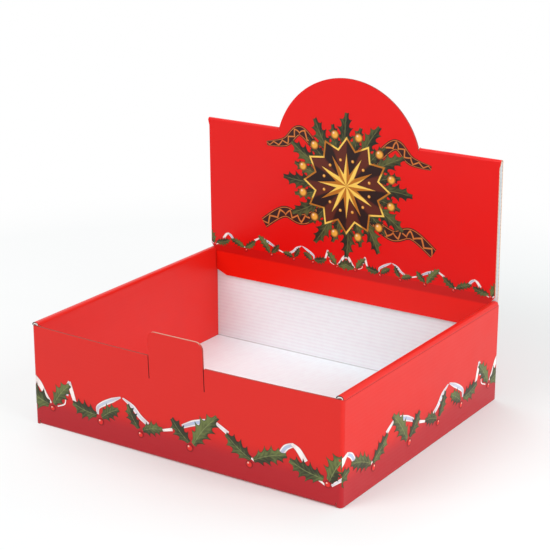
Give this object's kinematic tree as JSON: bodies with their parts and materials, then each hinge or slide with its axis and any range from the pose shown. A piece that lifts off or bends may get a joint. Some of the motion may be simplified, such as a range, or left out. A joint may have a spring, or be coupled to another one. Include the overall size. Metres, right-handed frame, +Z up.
{
  "type": "counter display box",
  "caption": "Folded cardboard counter display: open tray with rolled side walls, lid folded back into an arched header, and a slit-sided front tab.",
  "frame": {"origin": "centre of the tray's flat underside, on the surface that it stands on", "axes": "+X along the tray's width, +Y from the front wall to the header, +Z up"},
  "size_m": [0.3, 0.265, 0.268],
  "materials": {
    "printed_face": "glossy offset print on fine-flute corrugated board",
    "white_face": "uncoated white liner with faint flute ribs",
    "cut_edge": "die-cut corrugated edge",
    "garland_print": "glossy offset print",
    "medallion_print": "glossy offset print"
  },
  "bodies": {
    "root": {"display_stand": "printed_face"}
  },
  "joints": []
}
